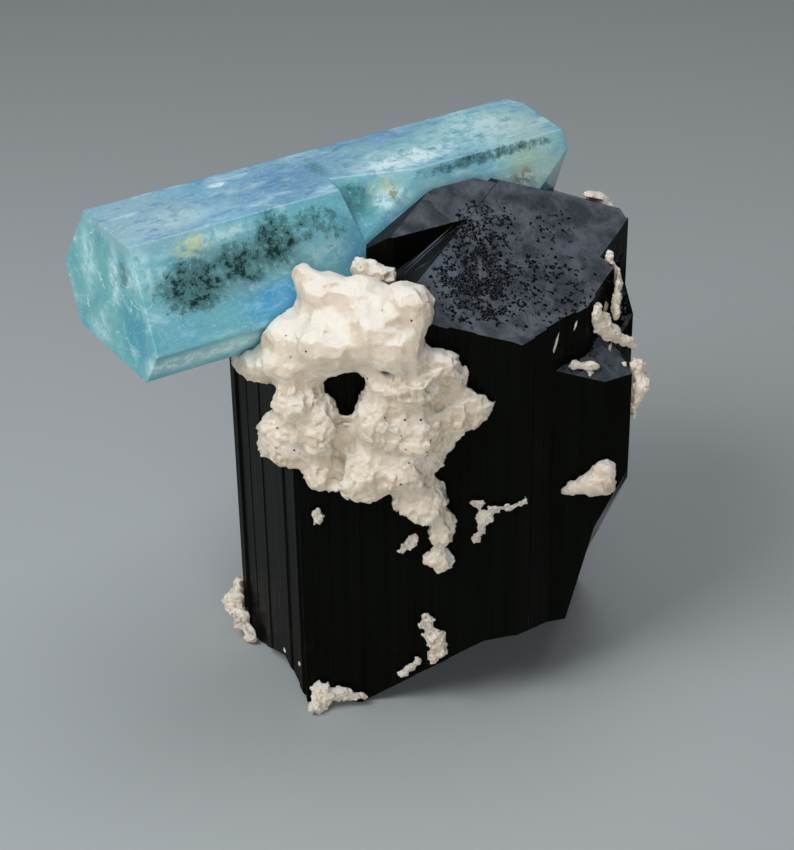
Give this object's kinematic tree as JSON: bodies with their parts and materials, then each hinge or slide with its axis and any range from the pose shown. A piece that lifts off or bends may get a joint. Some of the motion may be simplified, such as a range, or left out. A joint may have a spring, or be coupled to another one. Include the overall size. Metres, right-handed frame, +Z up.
{
  "type": "aquamarine crystal on tourmaline",
  "caption": "Pale blue hexagonal aquamarine lying across the broken shoulder of a stout black tourmaline crystal, with lumps of white albite grown around them.",
  "frame": {"origin": "tourmaline's c axis where it meets the flat base the specimen rests on", "axes": "+Z up along the tourmaline's c axis, -Y towards its broad front prism face, +X towards its right flank; the aquamarine's near end points to -X"},
  "size_m": [0.068, 0.0492, 0.064],
  "materials": {
    "aquamarine": "vitreous crystal faces with internal veils",
    "tourmaline": "vitreous striated prism faces, matt etched termination",
    "albite": "sugary, slightly translucent"
  },
  "bodies": {
    "root": {"aquamarine_crystal": "aquamarine", "tourmaline_crystal": "tourmaline", "albite_main_mass": "albite", "albite_under_point": "albite", "albite_crumb": "albite", "albite_chip": "albite", "albite_branch": "albite", "albite_clump_lower": "albite", "albite_sliver_lower": "albite", "albite_knob_right": "albite", "albite_edge_right": "albite", "albite_foot_left": "albite", "albite_foot_front": "albite", "albite_seam": "albite", "albite_seam_upper": "albite", "albite_patch_small": "albite", "albite_block_back": "albite"}
  },
  "joints": []
}
